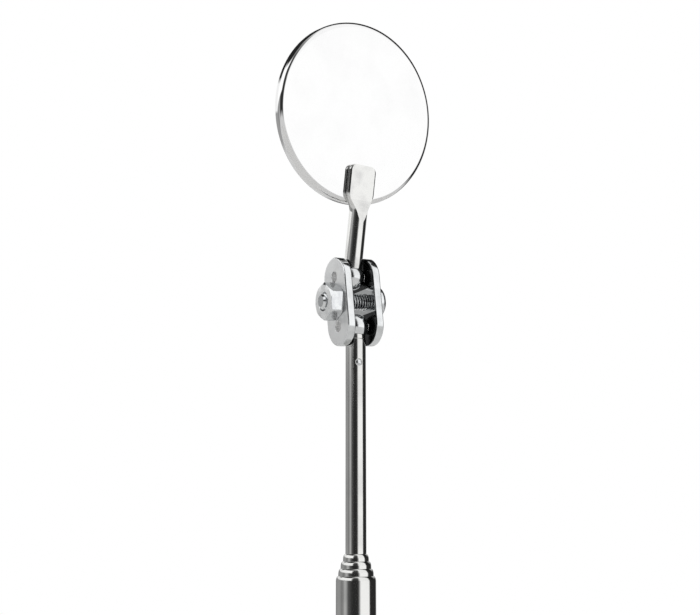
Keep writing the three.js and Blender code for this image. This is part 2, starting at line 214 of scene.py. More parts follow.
def turned(profile: np.ndarray, axes: Axes, angles: int | np.ndarray = 96) -> np.ndarray:
    """A surface of revolution about a frame's z.

    Args:
        profile: radius and height pairs.
        axes: the frame to turn in.
        angles: how many even columns, or the columns' own angles in radians.

    Returns:
        A grid of points, one row for each profile point and one column for each angle.
    """
    if isinstance(angles, int):
        angles = np.arange(angles) * 2 * math.pi / angles
    ring = np.stack([np.cos(angles), np.sin(angles)], -1)
    flat = profile[:, None, :1] * ring[None]
    height = np.broadcast_to(profile[:, None, 1:], flat.shape[:2] + (1,))
    return axes.place(np.concatenate([flat, height], -1))


def smooth(t: np.ndarray) -> np.ndarray:
    """A smooth step from 0 to 1: 3 t squared less 2 t cubed, with t held between 0 and 1.

    Args:
        t: how far along the step each value is.

    Returns:
        The stepped values.
    """
    t = np.clip(t, 0, 1)
    return t * t * (3 - 2 * t)


class Shell:
    """Grids of points gathered into one closed mesh."""

    def __init__(self) -> None:
        """Starts with no points."""
        self.points: list[np.ndarray] = []
        self.faces: list[np.ndarray] = []
        self.count = 0

    def grid(self, points: np.ndarray, wrap_rows: bool = False, wrap_cols: bool = True) -> "Shell":
        """Adds a grid of points, skinned with quads.

        Args:
            points: rows by columns by 3.
            wrap_rows: whether the last row joins the first.
            wrap_cols: whether the last column joins the first.

        Returns:
            This shell.
        """
        rows, cols = points.shape[:2]
        index = self.count + np.arange(rows * cols).reshape(rows, cols)
        down = np.arange(rows if wrap_rows else rows - 1)
        along = np.arange(cols if wrap_cols else cols - 1)
        i, j = np.meshgrid(down, along, indexing="ij")
        k, m = (i + 1) % rows, (j + 1) % cols
        quads = np.stack([index[i, j], index[i, m], index[k, m], index[k, j]], -1)
        self.points.append(points.reshape(-1, 3))
        self.faces.append(quads.reshape(-1, 4))
        self.count += rows * cols
        return self

    def build(self, name: str, sharp: float = 55.0) -> bpy.types.Object:
        """Welds the grids and makes the object.

        Points that meet become one, which closes every seam and pole, and all faces are then
        turned outward.

        Args:
            name: the object's name.
            sharp: edges that turn by more degrees than this stay sharp.

        Returns:
            The new object, in the scene.
        """
        mesh = bpy.data.meshes.new(name)
        mesh.from_pydata(np.concatenate(self.points), [], np.concatenate(self.faces))
        work = bmesh.new()
        work.from_mesh(mesh)
        bmesh.ops.remove_doubles(work, verts=work.verts, dist=WELD)
        bmesh.ops.recalc_face_normals(work, faces=work.faces)
        work.to_mesh(mesh)
        work.free()
        mesh.shade_smooth()
        mesh.set_sharp_from_angle(angle=math.radians(sharp))
        made = bpy.data.objects.new(name, mesh)
        bpy.context.scene.collection.objects.link(made)
        return made


# ---- finishes --------------------------------------------------------------------------------


def linear(code: str) -> tuple[float, float, float, float]:
    """An sRGB hex colour as linear light.

    Args:
        code: six hex digits.

    Returns:
        Red, green, blue and full alpha.
    """
    parts = np.array([int(code[i : i + 2], 16) for i in (0, 2, 4)]) / 255
    low, high = parts / 12.92, ((parts + 0.055) / 1.055) ** 2.4
    return (*np.where(parts <= 0.04045, low, high).tolist(), 1.0)


class Tree:
    """The node tree of a material or a world."""

    def __init__(self, owner: bpy.types.Material | bpy.types.World) -> None:
        """Empties the owner's tree.

        Args:
            owner: the material or world.
        """
        owner.use_nodes = True
        self.nodes = owner.node_tree.nodes
        self.links = owner.node_tree.links
        self.nodes.clear()

    def add(self, kind: str, inputs: dict | None = None, **settings: object) -> bpy.types.Node:
        """Adds a node.

        Args:
            kind: the node's type without the words ShaderNode.
            inputs: for each input, by name or number, a value or another node's output.
            **settings: the node's own properties.

        Returns:
            The node.
        """
        node = self.nodes.new("ShaderNode" + kind)
        for key, value in settings.items():
            setattr(node, key, value)
        for key, value in (inputs or {}).items():
            if isinstance(value, Socket):
                self.links.new(value, node.inputs[key])
            else:
                node.inputs[key].default_value = value
        return node

    def ramp(self, factor: Socket, stops: list[tuple[float, tuple]]) -> Socket:
        """A colour ramp.

        Args:
            factor: what drives it.
            stops: positions and linear colours, in order.

        Returns:
            The ramp's colour.
        """
        node = self.add("ValToRGB", {"Fac": factor})
        elements = node.color_ramp.elements
        while len(elements) < len(stops):
            elements.new(1.0)
        for element, (position, colour) in zip(elements, stops):
            element.position = position
            element.color = colour
        return node.outputs["Color"]

    def ranged(self, value: Socket, low: float, high: float, start: float = 0.0,
               end: float = 1.0) -> Socket:
        """Maps a value from one range to another, held at both ends.

        Args:
            value: the value.
            low: what start becomes.
            high: what end becomes.
            start: the first range's start.
            end: the first range's end.

        Returns:
            The mapped value.
        """
        inputs = {"Value": value, "From Min": start, "From Max": end, "To Min": low, "To Max": high}
        return self.add("MapRange", inputs).outputs["Result"]

    def noise(self, where: Socket, size_mm: tuple[float, ...], detail: float = 2.0) -> Socket:
        """Fractal noise with its own grain size along each axis.

        Args:
            where: the coordinates, in metres.
            size_mm: the grain's size along x, y and z.
            detail: how many finer octaves are added.

        Returns:
            The noise, from 0 to 1.
        """
        scale = tuple(1 / (size * MM) for size in size_mm)
        mapped = self.add("Mapping", {"Vector": where, "Scale": scale}).outputs["Vector"]
        inputs = {"Vector": mapped, "Scale": 1.0, "Detail": detail, "Roughness": 0.55}
        return self.add("TexNoise", inputs).outputs["Fac"]

    def bump(self, height: Socket, depth: float, under: dict | None = None) -> Socket:
        """Relief on the surface.

        Args:
            height: the relief's height, from 0 to 1.
            depth: its depth in micrometres.
            under: the coarser relief it lies on, as the Normal input.

        Returns:
            The new normal.
        """
        inputs = {"Height": height, "Strength": 1.0, "Distance": depth * MICRON, **(under or {})}
        return self.add("Bump", inputs).outputs["Normal"]


class Lay(Enum):
    """How the fine lines of a metal's polish run, as grain sizes in millimetres."""

    LENGTHWISE = (0.07, 0.07, 9.0)
    RANDOM = (0.16, 0.16, 0.16)
    ROUND_THE_TUBE = (3.0, 3.0, 0.05)


@dataclass(frozen=True)
class Metal:
    """A worked metal surface.

    Attributes:
        name: the material's name.
        colour: the clean metal as sRGB hex.
        dulled: the metal where it is handled or slightly stained.
        roughness: the polish of the clean metal.
        dulled_roughness: the polish of the dulled metal.
        lay: how the polishing lines run.
        line_depth: the lines' depth in micrometres.
        wave_size: the width in millimetres of the slow waves that rolling or drawing leaves.
        wave_depth: their depth in micrometres.
        stain_size: the width in millimetres of a dulled patch.
    """

    name: str
    colour: str
    dulled: str
    roughness: float
    dulled_roughness: float
    lay: Lay
    line_depth: float
    wave_size: float
    wave_depth: float
    stain_size: float

    def material(self) -> bpy.types.Material:
        """Builds the material: stains set colour and polish, lines and waves set the relief.

        Returns:
            The material.
        """
        made = bpy.data.materials.new(self.name)
        tree = Tree(made)
        where = tree.add("TexCoord").outputs["Object"]
        stain = tree.noise(where, (self.stain_size,) * 3, detail=4.0)
        patch = tree.ranged(stain, 0.0, 1.0, start=0.45, end=0.75)
        colour = tree.ramp(patch, [(0.0, linear(self.colour)), (1.0, linear(self.dulled))])
        polish = tree.ranged(patch, self.roughness, self.dulled_roughness)
        waves = tree.noise(where, (self.wave_size,) * 3, detail=1.0)
        slow = tree.bump(waves, self.wave_depth)
        lines = tree.noise(where, self.lay.value, detail=3.0)
        fine = tree.bump(lines, self.line_depth, {"Normal": slow})
        shader = tree.add("BsdfPrincipled", {
            "Base Color": colour, "Metallic": 1.0, "Roughness": polish,
            "Normal": fine,
        })
        tree.add("OutputMaterial", {"Surface": shader.outputs["BSDF"]})
        return made


@dataclass(frozen=True)
class SilveredGlass:
    """A silvered glass plate: the silver shines through clear glass with a hard, clean face."""

    name: str = "silvered_glass"
    silver: str = "e9edee"
    greener: str = "e2e9e8"
    roughness: float = 0.012

    def material(self) -> bpy.types.Material:
        """Builds the mirror's material, with a clear coat for the glass face.

        Returns:
            The material.
        """
        made = bpy.data.materials.new(self.name)
        tree = Tree(made)
        where = tree.add("TexCoord").outputs["Object"]
        tone = tree.noise(where, (14.0, 14.0, 14.0), detail=2.0)
        colour = tree.ramp(tone, [(0.35, linear(self.silver)), (0.7, linear(self.greener))])
        dust = tree.noise(where, (0.6, 0.6, 0.6), detail=5.0)
        haze = tree.ranged(dust, self.roughness, self.roughness * 3, start=0.55, end=0.8)
        shader = tree.add("BsdfPrincipled", {
            "Base Color": colour, "Metallic": 1.0, "Roughness": haze,
            "Coat Weight": 1.0, "Coat Roughness": 0.01, "Coat IOR": 1.52,
        })
        tree.add("OutputMaterial", {"Surface": shader.outputs["BSDF"]})
        return made


@dataclass(frozen=True)
class Board:
    """Pressed paper board or card, with fibres in its colour and relief.

    Attributes:
        name: the material's name.
        colour: the board as sRGB hex.
        fibre: its darker fibres as sRGB hex.
        fibre_size: the fibres' width in millimetres; they are four times as long along y.
        relief: the fibres' depth in micrometres.
        glow: the light of a lamp behind the board, as on a light table.
    """

    name: str
    colour: str
    fibre: str
    fibre_size: float
    relief: float
    glow: float = 0.0

    def material(self) -> bpy.types.Material:
        """Builds the board's material.

        Returns:
            The material.
        """
        made = bpy.data.materials.new(self.name)
        tree = Tree(made)
        where = tree.add("TexCoord").outputs["Object"]
        grain = (self.fibre_size, self.fibre_size * 4, self.fibre_size)
        fibres = tree.noise(where, grain, detail=5.0)
        colour = tree.ramp(fibres, [(0.3, linear(self.fibre)), (0.65, linear(self.colour))])
        matt = tree.ranged(fibres, 0.8, 0.95)
        bump = tree.bump(fibres, self.relief)
        shader = tree.add("BsdfPrincipled", {
            "Base Color": colour, "Roughness": matt, "Normal": bump,
            "Emission Color": (1, 1, 1, 1), "Emission Strength": self.glow,
        })
        tree.add("OutputMaterial", {"Surface": shader.outputs["BSDF"]})
        return made


# Stainless tube, cold drawn and then mirror polished along its length.
DRAWN_STAINLESS = Metal("drawn_stainless", "d6d6d4", "c2c2c1", 0.10, 0.17, Lay.LENGTHWISE,
                        0.10, 6.0, 1.2, 9.0)
# Stainless rod, turned or hammered flat and buffed, so its polish has no direction.
BUFFED_STAINLESS = Metal("buffed_stainless", "d8d8d6", "c4c4c3", 0.09, 0.18, Lay.RANDOM,
                         0.12, 1.6, 1.6, 3.0)
# Bright chrome over nickel on pressed steel sheet: thin, glassy, with the sheet's slow waves.
CHROME = Metal("chrome_plate", "e5e5e5", "e1e1e1", 0.04, 0.08, Lay.RANDOM, 0.03, 7.0, 0.5, 8.0)
# Chrome on the clamp's small stamped plates and balls, barrel polished before plating.
BARREL_CHROME = Metal("barrel_polished_chrome", "dcdedf", "c9cbcc", 0.09, 0.17, Lay.RANDOM,
                      0.16, 2.2, 2.4, 2.4)
# Bright zinc on the machine screw and its nut.
ZINC = Metal("bright_zinc_plate", "dadcdd", "c3c5c8", 0.12, 0.22, Lay.RANDOM, 0.2, 1.2, 1.5, 1.4)
# The stamped flats of the plates and the nut's end: plated like the rest, but matt from the tool.
STAMPED = Metal("matt_stamped_plate", "eeefef", "e0e1e2", 0.4, 0.5, Lay.RANDOM, 0.5, 1.8, 2.5, 3.0)
# Painted highlight: bright matt metal on the walls of the seats' holes, standing in for the ball's
# highlight seen through each hole.
PAINTED_HOLE_HIGHLIGHT = Metal("painted_hole_highlight", "f6f6f6", "eeeeee", 0.5, 0.6, Lay.RANDOM, 0.5, 1.8, 2.5, 3.0)
# Painted shade: dark metal on the plates' inner sides round the balls, where they turn, and in the
# roots of the thread, where shade falls.
PAINTED_SHADE = Metal("painted_shade_metal", "3a3b3c", "1d1e1f", 0.16, 0.3, Lay.RANDOM, 0.3, 1.5, 2.0, 1.0)
# Turned brass, with the lathe's fine rings.
BRASS = Metal("turned_brass", "d2b066", "b38f4b", 0.2, 0.34, Lay.ROUND_THE_TUBE, 1.2, 2.5, 1.5, 1.5)
# Rolled phosphor bronze strip.
BRONZE = Metal("phosphor_bronze", "c98f62", "a66f49", 0.24, 0.36, Lay.ROUND_THE_TUBE,
               0.6, 2.0, 1.5, 1.5)
# The looking glass itself.
GLASS = SilveredGlass()
# Grey pulp board behind the glass.
GREY_BOARD = Board("grey_board", "8f8c86", "76736d", 0.12, 25.0)
# Pale card on the lit table under the object.
PALE_FLOOR = Board("pale_floor_card", "f3f2f0", "eae9e6", 0.8, 15.0, glow=0.3)

Finish = Metal | SilveredGlass | Board


class Workshop:
    """Makes each finish once, and gives pieces their place, finish and body."""

    def __init__(self) -> None:
        """Starts with no materials made."""
        self.made: dict[str, bpy.types.Material] = {}

    def finish_of(self, finish: Finish) -> bpy.types.Material:
        """The material of a finish.

        Args:
            finish: the finish.

        Returns:
            Its one material.
        """
        if finish.name not in self.made:
            self.made[finish.name] = finish.material()
        return self.made[finish.name]

    def fit(self, shell: Shell, node: str, finish: Finish,
            sharp: float = 55.0) -> bpy.types.Object:
        """Makes the fine piece that stands for a node of the frame.

        Args:
            shell: the piece's surface.
            node: the node.
            finish: the piece's finish.
            sharp: edges that turn by more degrees than this stay sharp.

        Returns:
            The piece.
        """
        made = shell.build("fine_" + node, sharp)
        made.data.materials.append(self.finish_of(finish))
        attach(made, frame["nodes"][node]["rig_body"])
        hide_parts(node)
        log.info("%s: %d faces", made.name, len(made.data.polygons))
        return made

    def coat(self, piece: bpy.types.Object, finish: Finish,
             chosen: Callable[[np.ndarray], np.ndarray]) -> None:
        """Gives some of a piece's faces another finish.

        Args:
            piece: the piece.
            finish: the other finish.
            chosen: tells, for an array of face centres, which are coated.
        """
        faces = piece.data.polygons
        centres = np.empty(len(faces) * 3)
        faces.foreach_get("center", centres)
        coated = chosen(centres.reshape(-1, 3))
        index = np.empty(len(faces), np.int32)
        faces.foreach_get("material_index", index)
        piece.data.materials.append(self.finish_of(finish))
        index[coated] = len(piece.data.materials) - 1
        faces.foreach_set("material_index", index)

    def dress(self, node: str, finish: Finish) -> None:
        """Gives a node of the frame its finish, and keeps its own shape.

        Args:
            node: the node.
            finish: the finish.
        """
        slots = frame["nodes"][node].data.materials
        slots.clear()
        slots.append(self.finish_of(finish))
        log.info("%s: kept, in %s", node, finish.name)


def joint(name: str) -> dict:
    """A joint of the frame.

    Args:
        name: the joint's name.

    Returns:
        Its record, with pos_m and axis.
    """
    return next(j for j in frame["joints"] if j["name"] == name)


# ---- telescopic tubes ------------------------------------------------------------------------


@dataclass(frozen=True)
class TubeSizes:
    """Sizes the drawn tubes share, in metres."""

    wall: float = 0.3 * MM
    lip_height: float = 0.45 * MM
    lip_round: float = 1.05 * MM
    slide_gap: float = 0.03 * MM
    end_break: float = 0.12 * MM
    press_gap: float = 0.01 * MM
    stake_radius: float = 0.72 * MM
    stake_depth: float = 0.24 * MM
    stake_reach: float = 1.15 * MM
    stake_sector: float = 0.55


class Telescope:
    """The handle, its end plug, four sliding tubes, and what guides them inside."""

    sizes = TubeSizes()
    names = ("handle_tube", "tube_section_1", "tube_section_2", "tube_section_3", "tube_section_4")

    def build(self, shop: Workshop) -> None:
        """Builds the tubes and the plug, and dresses the hidden guides.

        Args:
            shop: where finishes come from.
        """
        for name, inner in zip(self.names, self.names[1:]):
            shop.fit(self.rolled_tube(name, inner), name, DRAWN_STAINLESS)
        shop.fit(self.thin_tube(), self.names[-1], DRAWN_STAINLESS)
        shop.fit(self.end_plug(), "end_plug", CHROME)
        for level in range(1, 5):
            shop.dress(f"base_bush_{level}", BRASS)
            shop.dress(f"spring_leaf_{level}", BRONZE)

    def rolled_tube(self, name: str, inner: str) -> Shell:
        """A tube whose top edge is rolled in over the next tube.

        The outside turns in on a quarter of an ellipse, as wide as the step to the mouth and as
        tall as the lip's round, and the mouth just clears the tube that slides in it.

        Args:
            name: the tube's node.
            inner: the next tube's node.

        Returns:
            The closed tube wall.
        """
        s = self.sizes
        low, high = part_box(name)
        outer, mouth = high.x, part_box(inner)[1].x + s.slide_gap
        bore = outer - s.wall
        across, fall = outer - mouth, s.lip_round
        turn = np.linspace(0, math.pi / 2, 16)
        lip = np.stack([mouth + across * np.cos(turn), high.z - fall + fall * np.sin(turn)], -1)
        inside = corners_rounded(
            [(mouth, high.z), (mouth, high.z - s.lip_height),
             (bore, high.z - s.lip_height - (bore - mouth)), (bore, low.z), (outer, low.z), lip[0]],
            np.array([0, 0.05, 0.1, 0.05, 0.06, 0]) * MM, steps=4)
        return Shell().grid(turned(np.concatenate([lip, inside]), UPRIGHT, 144), wrap_rows=True)

    def thin_tube(self) -> Shell:
        """The thinnest tube, dented round the pin that holds the ball's stud.

        The dent lowers the outside by its depth inside 0.78 of the stake's radius, and eases out
        to nothing over the next 0.3 of it. Rows stand closer together within the stake's reach,
        and columns within its sector, in radians to each side.

        Returns:
            The closed tube wall.
        """
        s = self.sizes
        low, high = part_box(self.names[-1])
        outer = high.x
        bore = outer - s.wall
        pin_low, pin_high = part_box("stud_pin")
        pin = (pin_low + pin_high) / 2
        pin_angle = math.atan2(pin.y, pin.x)
        near = np.linspace(-s.stake_sector, s.stake_sector, 64)
        far = np.linspace(s.stake_sector, 2 * math.pi - s.stake_sector, 90)[1:-1]
        angles = pin_angle + np.concatenate([near, far])
        close = np.linspace(pin.z - s.stake_reach, pin.z + s.stake_reach, 56)
        top = corners_rounded(
            [(outer, close[-1]), (outer, high.z), (bore, high.z), (bore, close[-1])],
            [0, s.end_break, 0.05 * MM, 0], steps=5)
        side = np.stack([np.full(len(close), outer), close], -1)
        profile = np.concatenate([[(bore, low.z), (outer, low.z)], side, top[1:]])
        points = turned(profile, UPRIGHT, angles)
        away = np.abs((angles - pin_angle + math.pi) % (2 * math.pi) - math.pi)[None] * outer
        distance = np.hypot(away, profile[:, 1:] - pin.z)
        depth = s.stake_depth * (1 - smooth((distance / s.stake_radius - 0.78) / 0.3))
        depth = depth * (profile[:, :1] > outer - 1e-6)
        inward = np.stack([np.cos(angles), np.sin(angles), np.zeros_like(angles)], -1)
        return Shell().grid(points - depth[..., None] * inward[None], wrap_rows=True)

    def end_plug(self) -> Shell:
        """The plug that closes the handle: a flange with a soft edge, and a barrel.

        Returns:
            The closed plug.
        """
        s = self.sizes
        low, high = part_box("end_plug")
        rim, barrel = high.x, high.x - s.wall - s.press_gap
        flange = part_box("handle_tube")[0].z
        profile = corners_rounded(
            [(0, low.z), (rim, low.z), (rim, flange), (barrel, flange), (barrel, high.z),
             (0, high.z)],
            np.array([0, 0.4, 0.1, 0.02, 0.3, 0]) * MM, steps=7)
        return Shell().grid(turned(profile, UPRIGHT, 96))


# ---- ball stud and clamp ---------------------------------------------------------------------


@dataclass(frozen=True)
class BallSizes:
    """Sizes of the balls and their necks, in metres."""

    radius: float = 2.7 * MM
    neck: float = 1.25 * MM
    bore: float = 1.28 * MM
    bore_depth: float = 1.13 * MM
    neck_depth: float = 1.1 * MM
    rest_gap: float = 0.02 * MM
    collar_step: float = 0.1 * MM
    pin_dome: float = 0.16 * MM


class BallJoint:
    """A ball on its neck."""

    sizes = BallSizes()

    def ball(self, axes: Axes, flat: float) -> Shell:
        """A ball with a flat and a blind bore on its underside.

        Args:
            axes: the ball's centre, with z away from its neck.
            flat: the flat's distance from the centre.

        Returns:
            The closed ball.
        """
        s = self.sizes
        rim = math.sqrt(s.radius**2 - flat**2)
        start = -math.degrees(math.asin(flat / s.radius))
        under = corners_rounded(
            [(0, s.bore_depth - flat), (s.bore, s.bore_depth - flat), (s.bore, -flat),
             (rim, -flat)],
            np.array([0, 0.02, 0.04, 0]) * MM, steps=3)
        side = arc_points((0, 0), s.radius, start, 90, 44)[1:]
        side[-1, 0] = 0
        return Shell().grid(turned(np.concatenate([under, side]), axes, 96))

    def stud(self, flat: float) -> Shell:
        """The stud in the thin tube's end: a shank, a collar on the tube, and the ball's neck.

        Args:
            flat: the ball's flat, as its distance from the ball's centre.

        Returns:
            The closed stud.
        """
        s = self.sizes
        low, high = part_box("ball_stud")
        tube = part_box("tube_section_4")[1]
        shank = tube.x - TubeSizes.wall - TubeSizes.press_gap
        collar = tube.x - s.collar_step
        shoulder = high.z - s.neck_depth
        profile = corners_rounded(
            [(0, low.z), (shank, low.z), (shank, tube.z + s.rest_gap),
             (collar, tube.z + s.rest_gap), (collar, shoulder), (s.neck, shoulder),
             (s.neck, high.z), (0, high.z)],
            np.array([0, 0.3, 0.01, 0.08, 0.12, 0.02, 0.05, 0]) * MM, steps=5)
        return Shell().grid(turned(profile, UPRIGHT, 96))

    def pin(self) -> Shell:
        """The short pin pressed through the tube into the stud, with a domed end.

        Returns:
            The closed pin.
        """
        low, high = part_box("stud_pin")
        middle = (low + high) / 2
        out = unit(np.array([middle.x, middle.y, 0.0]))
        radius = (high.z - low.z) / 2
        # The pin's own length: what its box spans along x, less what its width adds there.
        length = (high.y - low.y - 2 * radius * abs(out[0])) / abs(out[1])
        axes = Axes.along((middle.x, middle.y, middle.z), out, x=(0, 0, 1))
        dome = self.sizes.pin_dome
        sphere = (radius**2 + dome**2) / (2 * dome)
        sweep = math.degrees(math.asin(radius / sphere))
        cap = arc_points((0, length / 2 - sphere), sphere, 90 - sweep, 90, 8)
        cap[-1, 0] = 0
        profile = np.concatenate([[(0, -length / 2), (radius, -length / 2)], cap])
        return Shell().grid(turned(profile, axes, 40))


@dataclass(frozen=True)
class PlateSizes:
    """Sizes of a clamp plate, in metres."""

    half_width: float = 4.5 * MM
    seat_margin: float = 4.1 * MM
    thickness: float = 1.8 * MM
    seat_radius: float = 1.15 * MM
    bolt_radius: float = 1.76 * MM
    edge_round: float = 0.3 * MM
    hole_round: float = 0.1 * MM
    waist_radius: float = 0.72 * MM
    waist_height: float = 0.5 * MM
    seat_gap: float = 0.03 * MM
    face_slack: float = 0.02 * MM
    # How far off the inner side the painted shade reaches.
    painted_shade_slack: float = 0.1 * MM

    @property
    def half_gap(self) -> float:
        """Half the space between the plates, set by how deep a ball sits in its seat."""
        return math.sqrt(BallSizes.radius**2 - self.seat_radius**2) + self.seat_gap


class ClampPlate:
    """A stadium-shaped plate with a seat hole over each ball and the screw's hole between."""

    sizes = PlateSizes()

    def __init__(self, axes: Axes, spacing: float, side: int) -> None:
        """Sets the plate's place.

        Args:
            axes: the lower ball's centre, with z towards the upper ball and x along the screw.
            spacing: the distance between the balls.
            side: 1 for the plate on the screw head's side, -1 for the nut's.
        """
        self.axes = axes
        self.spacing = spacing
        self.side = side
        inset = self.sizes.half_width - self.sizes.seat_margin
        self.low_centre, self.top_centre = inset, spacing - inset

    def edge_distance(self, points: np.ndarray) -> np.ndarray:
        """How far inside the outline points are: the half width less the distance to the
        line between the two ends' centres.

        Args:
            points: y and z in the plate's plane.

        Returns:
            The distances.
        """
        spine = np.clip(points[..., 1], self.low_centre, self.top_centre)
        return self.sizes.half_width - np.hypot(points[..., 0], points[..., 1] - spine)

    def cell_border(self, low: float, high: float) -> tuple[np.ndarray, np.ndarray]:
        """The border of the part of the plate between two heights, once round.

        A cut across the plate is sampled closely at its ends, where the edge is round. A low
        of minus infinity or a high of infinity is the plate's own end.

        Args:
            low: the lower cut's height.
            high: the upper cut's height.

        Returns:
            The border's points, and for each whether the next step runs on the outline.
        """
        half = self.sizes.half_width
        ends = self.sizes.edge_round * (1 - np.cos(np.linspace(0, math.pi / 2, 7)))
        between = np.linspace(half - ends[-1], ends[-1] - half, 26)[1:-1]
        across = np.concatenate([half - ends, between, ends[::-1] - half])
        low_z = low if np.isfinite(low) else self.low_centre
        high_z = high if np.isfinite(high) else self.top_centre
        right = np.stack([np.full(12, half), np.linspace(low_z, high_z, 12)], -1)
        left = right[::-1] * (-1, 1)
        if np.isfinite(high):
            top, top_edge = np.stack([across, np.full(len(across), high)], -1), False
        else:
            top, top_edge = arc_points((0, self.top_centre), half, 0, 180, 44), True
        if np.isfinite(low):
            bottom, bottom_edge = np.stack([-across, np.full(len(across), low)], -1), False
        else:
            bottom, bottom_edge = arc_points((0, self.low_centre), half, 180, 360, 44), True
        runs = [(right, True), (top, top_edge), (left, True), (bottom, bottom_edge)]
        points = np.concatenate([run[:-1] for run, _ in runs])
        outline = np.concatenate([np.full(len(run) - 1, edge) for run, edge in runs])
        return points, outline

    def cell(self, shell: Shell, low: float, high: float, centre: float, hole: float,
             waist: float | None = None) -> None:
        """Adds the part of the plate round one hole.

        Straight lines run from the hole to the border. Near an edge the face falls on an arc:
        by r less the root of r squared less (r - d) squared, at a distance d from the edge.

        Args:
            shell: the plate's shell.
            low: the lower cut's height.
            high: the upper cut's height.
            centre: the hole's height.
            hole: the hole's radius.
            waist: the radius a seat's hole narrows to above the ball, if it does.
        """
        s = self.sizes
        border, outline = self.cell_border(low, high)
        middle = np.array([0.0, centre])
        out = unit(border - middle)
        lip = s.hole_round * (1 - np.cos(np.linspace(0, math.pi / 2, 6)))
        rim = s.edge_round * (1 - np.cos(np.linspace(math.pi / 2, 0, 8)))
        inner = middle + out * (hole + np.append(lip, lip[-1] + FLAT_MARGIN))[:, None, None]
        outer = border - out * np.insert(rim, 0, rim[0] + FLAT_MARGIN)[:, None, None]
        share = np.linspace(0, 1, 8)[1:-1, None, None]
        between = inner[-1] * (1 - share) + outer[0] * share
        flat = np.concatenate([inner, between, outer])
        hole_far = np.hypot(flat[..., 0], flat[..., 1] - centre) - hole
        drop = self.fall(self.edge_distance(flat), s.edge_round) + self.fall(hole_far, s.hole_round)
        face = self.placed(flat, s.thickness - drop)
        back = self.placed(flat, drop)
        shell.grid(face).grid(back)
        wall = [face[0], back[0]]
        if waist:
            wall.insert(1, self.placed(middle + out * waist, np.full(len(out), s.waist_height)))
        shell.grid(np.stack(wall))
        steps = np.flatnonzero(outline)
        wall = np.stack([face[-1], back[-1]])
        after = (steps + 1) % wall.shape[1]
        quads = np.stack([wall[0, steps], wall[0, after], wall[1, after], wall[1, steps]], 1)
        start = shell.count
        shell.points.append(quads.reshape(-1, 3))
        shell.faces.append(start + np.arange(len(steps) * 4).reshape(-1, 4))
        shell.count += len(steps) * 4

    def fall(self, distance: np.ndarray, radius: float) -> np.ndarray:
        """How far a rounded edge lies below its face.

        Args:
            distance: the distance from the edge.
            radius: the edge's radius.

        Returns:
            The drop, zero beyond the radius.
        """
        inside = radius - np.clip(distance, 0, radius)
        return radius - np.sqrt(np.maximum(radius**2 - inside**2, 0))

    def placed(self, flat: np.ndarray, height: np.ndarray) -> np.ndarray:
        """Points of the plate in the object's frame.

        Args:
            flat: y and z in the plate's plane.
            height: the height above the plate's inner face.

        Returns:
            The points.
        """
        x = self.side * (self.sizes.half_gap + height)
        return self.axes.place(np.concatenate([x[..., None], flat], -1))

    def shell(self) -> Shell:
        """The whole plate: three cells, one round each hole.

        Returns:
            The closed plate.
        """
        s = self.sizes
        made = Shell()
        quarter = self.spacing / 4
        self.cell(made, -math.inf, quarter, 0.0, s.seat_radius, s.waist_radius)
        self.cell(made, quarter, 3 * quarter, 2 * quarter, s.bolt_radius)
        self.cell(made, 3 * quarter, math.inf, self.spacing, s.seat_radius, s.waist_radius)
        return made

    def outer_face(self, points: np.ndarray) -> np.ndarray:
        """Which points lie on the plate's outer flat.

        Args:
            points: points in the object's frame.

        Returns:
            A truth value for each.
        """
        s = self.sizes
        out = (points - self.axes.origin) @ self.axes.x * self.side
        return out > s.half_gap + s.thickness - s.face_slack

    def highlight_wall(self, points: np.ndarray) -> np.ndarray:
        """Which points lie on the wall of a seat's hole, above the ball, which are painted bright
        as the ball's highlight seen through the hole.

        Args:
            points: points in the object's frame.

        Returns:
            A truth value for each.
        """
        s = self.sizes
        off = points - self.axes.origin
        height = off @ self.axes.x * self.side - s.half_gap
        up = off @ self.axes.z
        from_end = np.minimum(np.abs(up), np.abs(up - self.spacing))
        near = np.hypot(off @ self.axes.y, from_end) < s.seat_radius
        return near & (height > s.waist_height) & (height < s.thickness - s.hole_round)

    def painted_shade_face(self, points: np.ndarray) -> np.ndarray:
        """Which points lie on the plate's inner side near a ball, or in a seat's hole, which are
        painted dark as shade.

        Args:
            points: points in the object's frame.

        Returns:
            A truth value for each.
        """
        out = (points - self.axes.origin) @ self.axes.x * self.side
        up = (points - self.axes.origin) @ self.axes.z
        near = np.abs(up - self.spacing / 2) > self.spacing / 4
        return near & (out < self.sizes.half_gap + self.sizes.painted_shade_slack)


@dataclass(frozen=True)
class FastenerSizes:
    """Sizes of the clamp's screw and nut, in metres."""

    major: float = 1.7 * MM
    pitch: float = 0.6 * MM
    thread_depth: float = 0.36 * MM
    head_radius: float = 3.5 * MM
    head_height: float = 2.4 * MM
    head_side: float = 0.4
    slot_half: float = 0.45 * MM
    slot_depth: float = 1.0 * MM
    plate_gap: float = 0.02 * MM
    face: float = PlateSizes().half_gap + PlateSizes.thickness + plate_gap
    nut_height: float = 3.0 * MM
    overhang: float = 0.6 * MM
    point_step: float = 0.5 * MM
    across_flats: float = 7.0 * MM
    nut_bore: float = 1.72 * MM
    nut_turn: float = -9.0
    sink_width: float = 0.35 * MM
    sink_depth: float = 0.3 * MM
    corner_break: float = 0.05 * MM
    face_inset: float = 0.12 * MM
    cone_slope: float = 0.58


